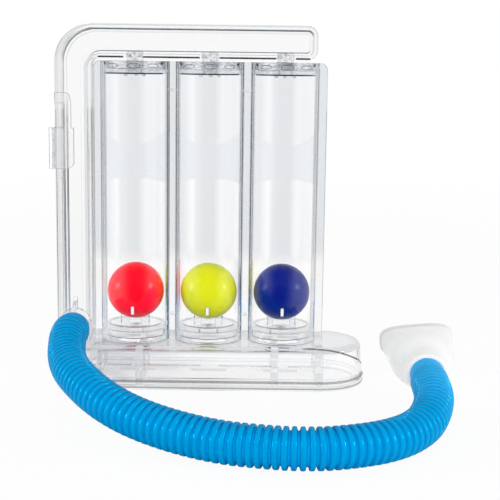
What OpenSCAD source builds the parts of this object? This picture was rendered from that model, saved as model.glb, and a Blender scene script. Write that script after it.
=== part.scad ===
// Three ball breathing trainer: clear chambers on a foot, an air duct up the side and across the
// top, and a ribbed hose that ends in a mouthpiece.
// The origin is the middle of the foot's underside, under the middle ball. +Z is up and the front
// faces -Y. All sizes are in millimetres.

/* [Balls] */
// Diameter of each ball
ball_d = 25; // [20:0.5:28]
// Wall of the hollow balls
ball_wall = 1; // [0.6:0.1:2]
// Gap between a ball and the nubs that it rests on
ball_rest_gap = 0.2; // [0.1:0.05:0.3]

/* [Chambers] */
// Clearance between a ball and its tube, all round
ball_clearance = 1; // [0.5:0.1:1.5]
// Wall of the three tubes
tube_wall = 1.6; // [1.2:0.1:2.2]
// Gap between neighbouring tubes
tube_spacing = 2.3; // [1.5:0.1:5]
// Height of the chamber block above the foot
chamber_h = 122.3; // [100:1:140]
// Thickness of each half's web between the tubes
web_t = 3; // [2:0.5:5]
// Width of the flange outside the outer tubes
side_flange_w = 3.2; // [2.5:0.1:6]
// Corner radius at the top of the flanges
flange_corner_r = 3.4; // [1:0.2:6]
// Diameter of the pins that line up the two halves
align_pin_d = 1.2; // [0.8:0.1:1.4]
// Clearance around those pins
align_pin_fit = 0.1; // [0.05:0.05:0.2]
// Height of the index mark on the front of each tube
mark_h = 4.4; // [3:0.2:8]
// Width of the index mark
mark_w = 1.3; // [0.8:0.1:2]
// Height that the index mark stands out of the tube
mark_proud = 0.45; // [0.2:0.05:0.8]

/* [Ball seats] */
// Height from the foot's deck to the top of a seat's plate
seat_h = 7; // [5:0.5:10]
// Thickness of a seat's plate
seat_plate_t = 2.4; // [1.5:0.1:3]
// Wall of a seat's skirt
seat_skirt_t = 1.6; // [1:0.1:2.5]
// Clearance between a seat and its tube
seat_fit = 0.15; // [0.1:0.05:0.3]
// Height of a resting ball's underside above the seat's plate
ball_lift = 2; // [1:0.25:4]
// Thickness of the nubs that hold the ball up
nub_t = 1.2; // [0.8:0.1:2]
// Distance of the nubs' outer ends from the axis
nub_reach = 7; // [6.5:0.5:9]
// Air orifice of the left seat
orifice_left_d = 6; // [5:0.5:9]
// Air orifice of the middle seat
orifice_middle_d = 7.5; // [5:0.5:9]
// Air orifice of the right seat
orifice_right_d = 9; // [5:0.5:10]

/* [Chamber caps] */
// Depth of a cap in its tube
cap_h = 5.3; // [4:0.1:8]
// Thickness of a cap's floor
cap_floor_t = 1.8; // [1.2:0.1:3]
// Wall of a cap's rim
cap_rim_t = 1.6; // [1:0.1:2.5]
// Clearance between a cap and its tube
cap_fit = 0.1; // [0.05:0.05:0.2]
// Outer diameter of the riser on each cap
riser_d = 7.3; // [6:0.1:9]
// Wall of the riser
riser_wall = 1.15; // [0.8:0.05:1.5]
// Length of the riser inside the duct
riser_reach = 2.5; // [1.8:0.1:4]
// Clearance between a riser and its hole in the duct
riser_fit = 0.1; // [0.05:0.05:0.2]
// Height of the stops under a cap
stop_h = 1.2; // [0.8:0.1:2]
// Diameter of the stops under a cap
stop_d = 1.6; // [1.2:0.1:2]
// Radius of the circle that the stops stand on
stop_circle_r = 4.4; // [3.5:0.1:6]
// Diameter of the two bosses inside a cap
cap_boss_d = 2.2; // [1.6:0.1:3]
// Distance of those bosses from the cap's axis
cap_boss_reach = 11; // [9:0.1:11.4]
// Width of the two beads round a riser
riser_bead_w = 0.8; // [0.5:0.1:1.2]
// Height that those beads stand out
riser_bead_proud = 0.4; // [0.2:0.05:0.6]

/* [Air duct] */
// Width of the upright part of the duct, across the front
duct_w = 13.9; // [11:0.1:18]
// Height of the part of the duct across the top
duct_top_h = 13.8; // [11:0.2:18]
// Depth of the duct, front to back
duct_depth = 18; // [14:0.5:24]
// Wall of the duct
duct_wall = 1.5; // [1.2:0.1:2]
// Thickness of the duct's rear cover
duct_cover_t = 1.8; // [1.4:0.1:3]
// Width of the cover's edge outside the duct
duct_cover_edge = 0.8; // [0:0.1:2]
// Thickness of the cover's rib inside the duct
duct_cover_rib_t = 1.2; // [0.8:0.1:2]
// Clearance around the cover's rib
duct_cover_fit = 0.15; // [0.1:0.05:0.3]
// Outer corner radius of the duct
duct_corner_r = 16; // [14:0.5:18]
// Radius inside the duct's bend
duct_bend_r = 4.4; // [2:0.2:6]
// Corner radius at the duct's closed end
duct_end_r = 4; // [3.6:0.2:5]
// Gap between the chambers and the upright part of the duct
duct_side_gap = 1.3; // [0.3:0.1:2]
// Gap between the chambers and the top part of the duct
duct_top_gap = 1.4; // [0.8:0.1:3]
// Distance from the duct's closed end to the chambers' right side
duct_short = 4.8; // [2:0.2:12]
// Width of the raised border around the duct's front
duct_border_w = 1.3; // [1:0.1:2.4]
// Height of the raised border
duct_border_h = 0.45; // [0.2:0.05:0.6]

/* [Hose port] */
// Distance of the port's axis from the duct's inner side
port_inset = 5.9; // [5.5:0.1:7.5]
// Height of the port's axis above the foot's deck
port_rise = 7.5; // [7.5:0.1:12]
// Diameter of the port's shoulder
port_shoulder_d = 14.2; // [13.5:0.1:14.4]
// Length of the port's shoulder
port_shoulder_t = 8; // [5:0.2:9]
// Outer diameter of the port's spigot
spigot_d = 11.7; // [10:0.1:12.2]
// Wall of the spigot
spigot_wall = 1.15; // [1:0.05:1.6]
// Length of the spigot past the shoulder
spigot_len = 4.4; // [3:0.2:5]
// Height of the gusset above the port
gusset_h = 5; // [3:0.5:8]
// Thickness of the gusset
gusset_t = 1.6; // [1:0.1:3]

/* [Foot] */
// Height of the foot, up to its deck
foot_h = 19; // [16:0.5:24]
// Distance from the outer tubes' wall to the edge of the deck, front and back
deck_margin = 4; // [3:0.1:8]
// Distance from the duct to the end of the foot
foot_margin = 3.5; // [3:0.1:15]
// How much further out the foot is at the table than at its deck
foot_flare = 1.4; // [0:0.1:3]
// Wall of the foot
foot_wall = 1.6; // [1.2:0.1:2.5]
// Thickness of the deck
deck_t = 2; // [1.5:0.1:3]
// Width of the pad's edge round the duct's foot
duct_pad_edge = 0.3; // [0.2:0.1:0.8]
// Height of that pad's side below the deck
duct_pad_h = 3.4; // [2.6:0.1:5]
// Edge radius of the deck
deck_edge_r = 2.6; // [2:0.1:3.4]
// Height of the rim round the shell's lower edge
foot_rim_h = 1.4; // [0.8:0.1:2.4]
// Diameter of the air hole in the deck under each tube
deck_hole_d = 18; // [12:1:20]
// Thickness of the cross ribs inside the foot
foot_rib_t = 3.2; // [1:0.1:4]
// Distance from the middle to the inner cross ribs
inner_rib_x = 29.5; // [22:0.5:34]
// Distance from the middle to the outer cross ribs
outer_rib_x = 49; // [40:0.5:51]
// Height of the plate that closes the foot
plate_h = 3.2; // [2.5:0.1:5]
// Thickness of that plate's floor
plate_floor_t = 1.4; // [1:0.1:2]
// Height of the plate's lip inside the foot
plate_lip_h = 1.8; // [1:0.1:3]
// Thickness of the lip
plate_lip_t = 1.2; // [0.8:0.1:2]
// Clearance around the lip
plate_fit = 0.15; // [0.1:0.05:0.3]
// Radius of the plate's lower edge
plate_edge_r = 1.2; // [0.5:0.1:1.4]
// Height of the plate's floor above the table
plate_recess = 0.8; // [0.4:0.1:1.2]
// Width of the air slots in the plate
air_slot_w = 2.4; // [1.5:0.1:4]
// Length of the air slots in the plate
air_slot_len = 16; // [8:1:20]

/* [Mouthpiece clip] */
// Height of the clip's lower edge above the foot's deck
clip_rise = 76; // [40:1:90]
// Height of the clip
clip_h = 17.6; // [12:0.2:24]
// Width of the clip across the duct's front
clip_w = 8.2; // [6:0.2:9]
// Wall of the clip
clip_t = 1.2; // [1:0.1:2]
// Length of the clip's arm along the duct's side
clip_arm = 12; // [8:0.5:14]
// Width of the clip's outer fin
clip_fin = 1.2; // [1:0.1:4]
// Gap between the clip and the duct
clip_fit = 0.1; // [0.05:0.05:0.2]
// Corner radius of the clip
clip_corner_r = 3.2; // [1:0.2:5]
// Width of the clip's tongue
tongue_w = 3; // [2:0.1:4]
// Length of the clip's tongue above it
tongue_len = 10.4; // [6:0.2:16]
// Width of the tongue's head
tongue_head_w = 6.8; // [6:0.2:8]
// Height of the tongue's head
tongue_head_h = 4.6; // [3:0.2:7]
// Radius of the head's round corner
tongue_head_r = 2.4; // [1:0.2:2.6]
// Number of grip ridges on the duct beside the tongue
grip_count = 9; // [4:1:12]
// Width of a grip ridge
grip_t = 0.5; // [0.3:0.1:0.8]
// Distance from one grip ridge to the next
grip_pitch = 1.1; // [0.9:0.1:1.4]

/* [Hose] */
// Outer diameter over the hose's ribs
hose_d = 15.6; // [13:0.1:16]
// Depth of the grooves between the ribs
groove_depth = 1.5; // [0.6:0.1:1.8]
// Wall of the hose
hose_wall = 0.7; // [0.5:0.1:1]
// Distance from one rib to the next
rib_pitch = 3; // [2.6:0.1:6]
// Outer diameter of the smooth cuffs at the hose's ends
cuff_d = 14.2; // [13.5:0.1:15]
// Clearance between the cuff and the port's spigot
cuff_fit = 0.05; // [0.02:0.01:0.1]
// Diameter of the bead where a cuff meets the ribs
cuff_bead_d = 15; // [14.6:0.1:15.6]
// Width of that bead
cuff_bead_w = 2; // [1:0.2:3]
// Length of the cuff between the hose and the mouthpiece
cuff_show = 10; // [6:0.5:14]
// Length of the cuff inside the mouthpiece
cuff_grip = 11; // [8:0.5:14]
// Bore of the mouthpiece's cuff
cuff_bore_d = 11; // [9:0.2:11.6]

/* [Mouthpiece] */
// Length of the mouthpiece
mouth_len = 65; // [50:1:80]
// Width at the lips
mouth_w = 34; // [28:0.5:40]
// Height at the lips
mouth_h = 14.4; // [12:0.2:20]
// Width of the round body
mouth_body_w = 28.4; // [24:0.2:32]
// Height of the round body
mouth_body_h = 25.6; // [22:0.2:25.8]
// Wall of the mouthpiece
mouth_wall = 1.3; // [1:0.1:1.8]
// Outer diameter of its socket
socket_d = 17.6; // [17:0.1:20]
// Running clearance between the cuff and the socket, all round
socket_fit = 0.1; // [0.05:0.01:0.1]
// How far the lip's bead stands out
bead_proud = 0.7; // [0.3:0.1:1.2]
// Turn of the mouthpiece about its own axis
mouth_roll = 6; // [0:1:10]

/* [Hidden] */

$fn = 64;
// Overrun of every cut past the face that it opens
over = 0.5;

// The hose's route on the table, from the port to the mouthpiece
HOSE_ROUTE = [
    [-58, -22, 26.5], [-58, -25, 26.5], [-58, -28, 26.5], [-57.9, -33, 25.7], [-57.3, -39, 24.1],
    [-56.2, -46.5, 22.4], [-54.1, -55, 20.8], [-50.7, -64, 19.5], [-45.8, -73, 18], [-40, -81.5, 16.2],
    [-32.8, -89.5, 14.2], [-24, -96.7, 12.2],
    [-13.5, -103, 10.4], [-2, -108.4, 9], [10, -113, 8.2], [22, -116, 8], [34, -118, 8],
    [46, -117.5, 8], [57.5, -114, 8], [68, -108.5, 8], [77, -100.5, 8.2], [83.8, -91, 9],
    [88, -81, 10.5], [90.5, -71.5, 12], [91.5, -63, 13], [92, -55, 13], [92.5, -47, 13]];

// Chambers
bore_r = ball_d / 2 + ball_clearance;
tube_r = bore_r + tube_wall;
tube_pitch = 2 * tube_r + tube_spacing;
TUBE_X = [-tube_pitch, 0, tube_pitch];
chamber_half_w = tube_pitch + tube_r + side_flange_w;
chamber_top = foot_h + chamber_h;
web_mid_x = tube_pitch / 2;
pin_depth = web_t * 0.6;
// Heights of the two rows of pins, as shares of the chamber's height
PIN_HEIGHT_SHARES = [0.09, 0.9];

// Seats and balls
seat_r = bore_r - seat_fit;
seat_top = foot_h + seat_h;
ball_z = seat_top + ball_lift + ball_d / 2;
ORIFICES = [orifice_left_d, orifice_middle_d, orifice_right_d];
NUB_ANGLES = [90, 210, 330];

// Caps and risers
cap_r = bore_r - cap_fit;
// Heights of the beads round a riser, as shares of the cap's depth over its floor
BEAD_HEIGHT_SHARES = [0.2, 0.72];
cap_bottom = chamber_top - cap_h;
riser_r = riser_d / 2;
ball_travel = cap_bottom - stop_h - ball_rest_gap - (ball_z + ball_d / 2);

// Duct
duct_right_x = -chamber_half_w - duct_side_gap;
duct_left_x = duct_right_x - duct_w;
port_x = duct_right_x - port_inset;
duct_floor_z = chamber_top + duct_top_gap;
duct_top_z = duct_floor_z + duct_top_h;
duct_end_x = chamber_half_w - duct_short;
duct_front_y = -duct_depth / 2;
duct_seam_y = duct_depth / 2 - duct_cover_t;
duct_border_in = duct_wall + duct_border_w;

// Port and hose
port_z = foot_h + port_rise;
port_face_y = duct_front_y - port_shoulder_t;
spigot_r = spigot_d / 2;
hose_start_y = HOSE_ROUTE[0][1];
route_last = len(HOSE_ROUTE) - 1;
hose_end = HOSE_ROUTE[route_last];
hose_end_way = hose_end - HOSE_ROUTE[route_last - 1];
mouth_turn = -atan2(hose_end_way[0], hose_end_way[1]);
HOSE_SIDES = 8;
SPLINE_STEPS = 6;

// Foot
deck_r = tube_r + deck_margin;
foot_r = deck_r + foot_flare;
foot_half_l = chamber_half_w + duct_side_gap + duct_w + foot_margin;
foot_straight = foot_half_l - foot_r;
flare_turn = atan(foot_flare / foot_h);
RIB_X = [-outer_rib_x, -inner_rib_x, inner_rib_x, outer_rib_x];
lip_r = foot_r - foot_wall - foot_flare * plate_h / foot_h - plate_fit;
lip_top_z = plate_h + plate_lip_h;
// Facets round the foot's edge radii
EDGE_SIDES = 28;
slot_row_y = foot_r * 0.4;

// Clip
clip_bottom_z = foot_h + clip_rise;
clip_top_z = clip_bottom_z + clip_h;
clip_side_x = duct_left_x - clip_fit - clip_t;
clip_front_y = duct_front_y - duct_border_h - clip_fit - clip_t;

// A cylinder whose axis lies along Y, from y0 to y1
module rod_y(x, z, r, y0, y1) {
    translate([x, y1, z]) rotate([90, 0, 0]) cylinder(r = r, h = y1 - y0);
}

// A stadium with its length along X: the half outline, drawn in radius and height, goes round both
// ends and along both sides
module stadium(half_length) {
    for (side = [0, 1])
        mirror([side, 0, 0])
            translate([half_length, 0, 0])
                rotate([0, 0, -90]) rotate_extrude(angle = 180) children();
    rotate([90, 0, 90])
        linear_extrude(height = 2 * half_length, center = true) {
            children();
            mirror([1, 0]) children();
        }
}

// The two chamber halves

// Plan of the chamber block with the flanges and webs that join its tubes
module chamber_plan() {
    difference() {
        union() {
            for (x = TUBE_X) translate([x, 0]) circle(r = tube_r);
            square([2 * chamber_half_w, 2 * web_t], center = true);
        }
        for (x = TUBE_X) translate([x, 0]) circle(r = bore_r);
    }
}

// The flanges' square top corners, outside a round of the corner radius
module flange_corners() {
    for (side = [0, 1])
        mirror([side, 0, 0])
            translate([chamber_half_w - flange_corner_r, 0, chamber_top - flange_corner_r])
                rotate([90, 0, 0])
                    linear_extrude(height = 2 * tube_r, center = true)
                        difference() {
                            square(flange_corner_r + over);
                            circle(r = flange_corner_r);
                        }
}

// Places of the alignment pins, in the webs between the tubes
module at_align_pins() {
    for (x = [-web_mid_x, web_mid_x])
        for (share = PIN_HEIGHT_SHARES)
            translate([x, 0, foot_h + chamber_h * share])
                rotate([90, 0, 0]) children();
}

// One half of the chamber block: side is -1 for the front and 1 for the rear
module chamber_half(side) {
    difference() {
        translate([0, 0, foot_h])
            linear_extrude(height = chamber_h)
                intersection() {
                    chamber_plan();
                    translate([-chamber_half_w, side < 0 ? -tube_r : 0])
                        square([2 * chamber_half_w, tube_r]);
                }
        flange_corners();
    }
}

module chamber_front() {
    color([0.86, 0.9, 0.94, 0.4]) {
        chamber_half(-1);
        at_align_pins()
            translate([0, 0, -pin_depth]) cylinder(d = align_pin_d, h = 2 * pin_depth);
        for (x = TUBE_X)
            translate([x - mark_w / 2, -tube_r - mark_proud, ball_z - ball_d * 0.36])
                cube([mark_w, mark_proud + tube_wall / 2, mark_h]);
    }
}

module chamber_rear() {
    color([0.86, 0.9, 0.94, 0.4])
        difference() {
            chamber_half(1);
            at_align_pins()
                translate([0, 0, -pin_depth - over])
                    cylinder(r = align_pin_d / 2 + align_pin_fit, h = 2 * pin_depth + over);
        }
}

// Caps that close the tubes, each with the riser that leads into the duct

// Two beads round the riser, between the cap's floor and its top
module riser_beads() {
    for (share = BEAD_HEIGHT_SHARES)
        translate([0, 0, cap_bottom + cap_floor_t + (cap_h - cap_floor_t) * share])
            cylinder(r = riser_r + riser_bead_proud, h = riser_bead_w);
}

// Two bosses inside the cap, one at each side
module cap_bosses() {
    for (side = [-1, 1])
        translate([side * cap_boss_reach, 0, cap_bottom]) cylinder(d = cap_boss_d, h = cap_h);
}

module cap(x) {
    color([0.84, 0.88, 0.92, 0.4])
        translate([x, 0, 0])
            difference() {
                union() {
                    translate([0, 0, cap_bottom]) cylinder(r = cap_r, h = cap_h);
                    translate([0, 0, cap_bottom])
                        cylinder(r = riser_r, h = duct_floor_z + riser_reach - cap_bottom);
                    for (a = NUB_ANGLES)
                        rotate([0, 0, a])
                            translate([stop_circle_r, 0, cap_bottom - stop_h])
                                cylinder(d = stop_d, h = stop_h + cap_floor_t / 2);
                }
                difference() {
                    translate([0, 0, cap_bottom + cap_floor_t])
                        cylinder(r = cap_r - cap_rim_t, h = cap_h);
                    translate([0, 0, cap_bottom]) cylinder(r = riser_r, h = 2 * cap_h);
                    riser_beads();
                    cap_bosses();
                }
                translate([0, 0, cap_bottom - over])
                    cylinder(r = riser_r - riser_wall, h = 2 * (cap_h + riser_reach + duct_top_gap));
            }
}

module cap_left() { cap(TUBE_X[0]); }

module cap_middle() { cap(TUBE_X[1]); }

module cap_right() { cap(TUBE_X[2]); }

// Seats that the balls rest on, each with its own air orifice

module seat(number) {
    color([0.84, 0.88, 0.92, 0.4])
        translate([TUBE_X[number], 0, 0])
            difference() {
                union() {
                    translate([0, 0, foot_h]) cylinder(r = seat_r, h = seat_h);
                    for (a = NUB_ANGLES)
                        rotate([0, 0, a])
                            translate([ORIFICES[number] / 2, -nub_t / 2, seat_top - seat_plate_t / 2])
                                cube([nub_reach - ORIFICES[number] / 2, nub_t,
                                      seat_plate_t / 2 + ball_lift + ball_d / 4]);
                }
                translate([0, 0, foot_h - over])
                    cylinder(r = seat_r - seat_skirt_t, h = seat_h - seat_plate_t + over);
                translate([0, 0, foot_h]) cylinder(d = ORIFICES[number], h = seat_h + ball_lift);
                translate([0, 0, ball_z]) sphere(r = ball_d / 2 + ball_rest_gap);
            }
}

module seat_left() { seat(0); }

module seat_middle() { seat(1); }

module seat_right() { seat(2); }

// The hollow balls

module ball(x, tint) {
    color(tint)
        translate([x, 0, ball_z])
            difference() {
                sphere(d = ball_d);
                sphere(d = ball_d - 2 * ball_wall);
            }
}

module ball_red() { ball(TUBE_X[0], "red"); }

module ball_yellow() { ball(TUBE_X[1], [0.87, 0.9, 0.12]); }

module ball_blue() { ball(TUBE_X[2], [0, 0.12, 0.55]); }

// The air duct: an upright and a top part in one bend, closed at the back by a cover

// Outline of the duct, drawn in X and Z, with its edge moved in by a given width
module duct_outline(inset) {
    bend_x = duct_right_x + duct_bend_r;
    bend_z = duct_floor_z - duct_bend_r;
    corner_x = duct_left_x + duct_corner_r;
    corner_z = duct_top_z - duct_corner_r;
    difference() {
        union() {
            translate([corner_x, corner_z]) circle(r = duct_corner_r - inset);
            translate([duct_left_x + inset, foot_h + inset])
                square([bend_x - duct_left_x - inset, corner_z - foot_h - inset]);
            translate([corner_x, bend_z])
                square([duct_end_x - corner_x - duct_end_r, duct_top_z - bend_z - inset]);
            duct_end(inset);
        }
        translate([bend_x, bend_z]) circle(r = duct_bend_r + inset);
        translate([duct_right_x - inset, 0])
            square([duct_end_x - duct_right_x + inset, bend_z]);
        translate([bend_x, 0])
            square([duct_end_x - bend_x, duct_floor_z + inset]);
    }
}

// The closed end of the duct, with round corners
module duct_end(inset) {
    round_x = duct_end_x - duct_end_r;
    round_h = duct_top_h - 2 * duct_end_r;
    translate([round_x, duct_floor_z + duct_end_r]) square([duct_end_r - inset, round_h]);
    for (z = [duct_floor_z + duct_end_r, duct_top_z - duct_end_r])
        translate([round_x, z]) circle(r = duct_end_r - inset);
}

// The duct's outline as a plate from y0 to y1
module duct_plate(inset, y0, y1) {
    translate([0, y1, 0])
        rotate([90, 0, 0]) linear_extrude(height = y1 - y0) duct_outline(inset);
}

// Grip ridges on the duct's front, beside the clip's tongue
module grip_ridges() {
    for (i = [0 : grip_count - 1])
        translate([duct_left_x + duct_border_w, duct_front_y - duct_border_h,
                   clip_top_z + grip_pitch * (i + 0.5)])
            cube([clip_w / 2 - tongue_w / 2 - clip_fit, duct_border_h + duct_wall / 2, grip_t]);
}

// The port that the hose pushes on to
module hose_port() {
    rod_y(port_x, port_z, port_shoulder_d / 2, port_face_y, duct_front_y + duct_wall / 2);
    rod_y(port_x, port_z, spigot_r, port_face_y - spigot_len, duct_front_y + duct_wall / 2);
    translate([port_x - gusset_t / 2, duct_front_y + duct_wall / 2, port_z])
        rotate([90, 0, 90])
            linear_extrude(height = gusset_t)
                polygon([[0, 0], [-port_shoulder_t - duct_wall / 2, 0],
                         [-port_shoulder_t - duct_wall / 2, port_shoulder_d / 2],
                         [-duct_wall / 2, port_shoulder_d / 2 + gusset_h],
                         [0, port_shoulder_d / 2 + gusset_h]]);
}

module duct_shell() {
    color([0.88, 0.92, 0.96, 0.4])
        difference() {
            union() {
                difference() {
                    duct_plate(0, duct_front_y - duct_border_h, duct_seam_y);
                    duct_plate(duct_border_in, duct_front_y - duct_border_h - over, duct_front_y);
                    duct_plate(duct_wall, duct_front_y + duct_wall, duct_seam_y + over);
                }
                hose_port();
                grip_ridges();
            }
            rod_y(port_x, port_z, spigot_r - spigot_wall, port_face_y - spigot_len - over,
                  duct_front_y + duct_wall + over);
            for (x = TUBE_X)
                translate([x, 0, duct_floor_z - over])
                    cylinder(r = riser_r + riser_fit, h = duct_wall + 2 * over);
        }
}

module duct_cover() {
    rib_in = duct_wall + duct_cover_fit;
    color([0.88, 0.92, 0.96, 0.4]) {
        duct_plate_with_edge();
        difference() {
            duct_plate(rib_in, duct_seam_y - duct_cover_t, duct_seam_y + duct_cover_t / 2);
            duct_plate(rib_in + duct_cover_rib_t, duct_seam_y - duct_cover_t - over, duct_seam_y);
        }
    }
}

// The cover's plate, which stands past the duct all round but for its foot
module duct_plate_with_edge() {
    intersection() {
        duct_plate(-duct_cover_edge, duct_seam_y, duct_depth / 2);
        translate([duct_left_x - duct_w, 0, foot_h])
            cube([duct_end_x - duct_left_x + 2 * duct_w, duct_depth, 2 * chamber_h]);
    }
}

// The clip on the duct's left side that holds the mouthpiece

// The tongue's head: a block with one round corner
module tongue_head() {
    translate([tongue_head_w - tongue_head_r, tongue_head_h - tongue_head_r]) circle(r = tongue_head_r);
    square([tongue_head_w - tongue_head_r, tongue_head_h]);
    square([tongue_head_w, tongue_head_h - tongue_head_r]);
}

module mouthpiece_clip() {
    corner_x = duct_left_x + clip_w - clip_corner_r;
    plate_w = clip_w + clip_fit + clip_t;
    tongue_x = duct_left_x + clip_w / 2;
    color([0.8, 0.85, 0.88, 0.6]) {
        translate([0, clip_front_y + clip_t, 0])
            rotate([90, 0, 0])
                linear_extrude(height = clip_t) {
                    difference() {
                        translate([clip_side_x, clip_bottom_z]) square([plate_w, clip_h]);
                        translate([corner_x, clip_bottom_z - over])
                            square(clip_corner_r + over);
                    }
                    translate([corner_x, clip_bottom_z + clip_corner_r]) circle(r = clip_corner_r);
                    translate([tongue_x, clip_top_z - clip_t]) square([tongue_w, tongue_len + 2 * clip_t]);
                    translate([duct_left_x, clip_top_z + tongue_len]) tongue_head();
                }
        translate([clip_side_x, clip_front_y + clip_t / 2, clip_bottom_z])
            cube([clip_t, clip_arm, clip_h]);
        translate([clip_side_x - clip_fin, clip_front_y, clip_bottom_z])
            cube([clip_fin + clip_t / 2, clip_t, clip_h]);
    }
}

// The foot: a clear shell that carries the chambers and the duct, and the plate that closes it

// Half outline of the foot's outside between two heights, in radius and height
module foot_side(z0, z1, inset) {
    flare_share = foot_flare / foot_h;
    polygon([[0, z0], [foot_r - flare_share * z0 - inset, z0],
             [foot_r - flare_share * z1 - inset, z1], [0, z1]]);
}

// The same outline up to a flat top, with the top edge rounded into the sloping wall
module foot_side_round(z0, top, inset, edge_r) {
    edge_z = top - edge_r;
    edge_x = foot_r - foot_flare * edge_z / foot_h - inset - edge_r / cos(flare_turn);
    foot_side(z0, edge_z + edge_r * sin(flare_turn), inset);
    translate([0, edge_z]) square([edge_x, edge_r]);
    translate([edge_x, edge_z]) circle(r = edge_r, $fn = EDGE_SIDES);
}

// A cross rib inside the foot, with an air passage through it
module foot_rib(x) {
    rib_z0 = lip_top_z + plate_fit;
    difference() {
        translate([x, 0, 0])
            rotate([90, 0, 90])
                linear_extrude(height = foot_rib_t, center = true) {
                    foot_side_round(rib_z0, foot_h - deck_t / 2, foot_wall / 2, deck_edge_r);
                    mirror([1, 0]) foot_side_round(rib_z0, foot_h - deck_t / 2, foot_wall / 2, deck_edge_r);
                }
        translate([x - foot_rib_t, -deck_r / 4, rib_z0 - over])
            cube([2 * foot_rib_t, deck_r / 2, (foot_h - rib_z0) / 2]);
    }
}

// The foot's outside, with the rim along its lower edge and the pad that the duct stands on
module foot_outside() {
    stadium(foot_straight) {
        foot_side_round(plate_h, foot_h, 0, deck_edge_r);
        translate([0, plate_h]) square([foot_r, foot_rim_h]);
    }
    translate([duct_left_x - duct_pad_edge, -duct_depth / 2 - duct_pad_edge, foot_h - duct_pad_h])
        cube([duct_w + duct_pad_edge, duct_depth + 2 * duct_pad_edge, duct_pad_h]);
}

module foot_shell() {
    color([0.85, 0.89, 0.93, 0.4])
        difference() {
            union() {
                difference() {
                    foot_outside();
                    stadium(foot_straight)
                        foot_side_round(plate_h - over, foot_h - deck_t, foot_wall, deck_edge_r - foot_wall / 2);
                }
                for (x = RIB_X) foot_rib(x);
            }
            for (x = TUBE_X)
                translate([x, 0, foot_h - deck_t - over]) cylinder(d = deck_hole_d, h = deck_t + 2 * over);
        }
}

// Half outline of the foot's plate: a floor, an outer band and a lip
module plate_side() {
    translate([0, plate_recess]) square([lip_r, plate_floor_t]);
    translate([lip_r - plate_lip_t, plate_recess]) square([plate_lip_t, lip_top_z - plate_recess]);
    translate([lip_r - plate_lip_t, plate_edge_r])
        square([foot_r - lip_r + plate_lip_t, plate_h - plate_edge_r]);
    translate([lip_r - plate_lip_t, 0])
        square([foot_r - plate_edge_r - lip_r + plate_lip_t, plate_edge_r + over]);
    translate([foot_r - plate_edge_r, plate_edge_r]) circle(r = plate_edge_r);
}

// A low rib across the plate, under one of the foot's cross ribs
module plate_rib(x) {
    rib_z0 = plate_recess + plate_floor_t / 2;
    translate([x - foot_rib_t / 2, plate_lip_t / 2 - lip_r, rib_z0])
        cube([foot_rib_t, 2 * lip_r - plate_lip_t, lip_top_z - rib_z0]);
}

module foot_plate() {
    color([0.85, 0.89, 0.93, 0.4])
        difference() {
            union() {
                stadium(foot_straight) plate_side();
                for (x = RIB_X) plate_rib(x);
            }
            for (x = TUBE_X)
                translate([x, slot_row_y, plate_recess + plate_floor_t / 2])
                    cube([air_slot_len, air_slot_w, plate_floor_t + 2 * over], center = true);
            for (x = TUBE_X)
                translate([x, foot_r, 0])
                    cube([air_slot_len / 2, foot_r / 2, 2 * plate_recess], center = true);
        }
}

// The ribbed hose, its smooth cuffs and the mouthpiece

// A point on the smooth curve through four route points, from the second to the third
function curve_point(a, b, c, d, t) =
    (2 * b + (c - a) * t + (2 * a - 5 * b + 4 * c - d) * t * t + (3 * b - a - 3 * c + d) * t * t * t) / 2;

function route_at(i) =
    i < 0 ? 2 * HOSE_ROUTE[0] - HOSE_ROUTE[1]
    : i > route_last ? 2 * HOSE_ROUTE[route_last] - HOSE_ROUTE[route_last - 1]
    : HOSE_ROUTE[i];

HOSE_CURVE = [for (i = [0 : route_last - 1]) for (k = [0 : SPLINE_STEPS - 1])
                  curve_point(route_at(i - 1), route_at(i), route_at(i + 1), route_at(i + 2), k / SPLINE_STEPS),
              HOSE_ROUTE[route_last]];
curve_last = len(HOSE_CURVE) - 1;

// Length along the curve up to each of its points
function run_lengths(i = 0, run = 0) =
    i == curve_last ? [run] : concat([run], run_lengths(i + 1, run + norm(HOSE_CURVE[i + 1] - HOSE_CURVE[i])));

CURVE_RUN = run_lengths();
hose_length = CURVE_RUN[curve_last];
RUN_TO_X = [for (i = [0 : curve_last]) [CURVE_RUN[i], HOSE_CURVE[i][0]]];
RUN_TO_Y = [for (i = [0 : curve_last]) [CURVE_RUN[i], HOSE_CURVE[i][1]]];
RUN_TO_Z = [for (i = [0 : curve_last]) [CURVE_RUN[i], HOSE_CURVE[i][2]]];

function on_hose(run) = [lookup(run, RUN_TO_X), lookup(run, RUN_TO_Y), lookup(run, RUN_TO_Z)];

function unit(v) = v / norm(v);

// Direction of the hose at a length along it, straight at both ends
function hose_way(run) =
    unit(on_hose(min(run + rib_pitch / 2, hose_length)) - on_hose(max(run - rib_pitch / 2, 0)));

// A ring of points round the hose at a length along it
function hose_ring(run, r) =
    let (way = hose_way(run), side = unit(cross(way, [0, 0, 1])), up = cross(side, way))
    [for (k = [0 : HOSE_SIDES - 1])
        let (a = 360 * (k + 0.5) / HOSE_SIDES)
        on_hose(run) + r * (side * cos(a) + up * sin(a))];

rib_count = floor(hose_length / rib_pitch);
rib_step = hose_length / rib_count;
crest_r = hose_d / 2;
groove_r = crest_r - groove_depth;
hose_bore_r = groove_r - hose_wall;

// Radius outside the hose at each of its rings: two rings to a rib, and plain ends
OUTER_RUNS = concat([0], [for (i = [0 : rib_count - 1]) for (q = [0.25, 0.75]) (i + q) * rib_step], [hose_length]);

// Triangles between two rings of a swept tube
function band(a, b, sides, flip) =
    [for (k = [0 : sides - 1])
        let (n = (k + 1) % sides)
        for (f = flip ? [[a + k, a + n, b + n], [a + k, b + n, b + k]]
                      : [[a + k, b + n, a + n], [a + k, b + k, b + n]]) f];

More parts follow.
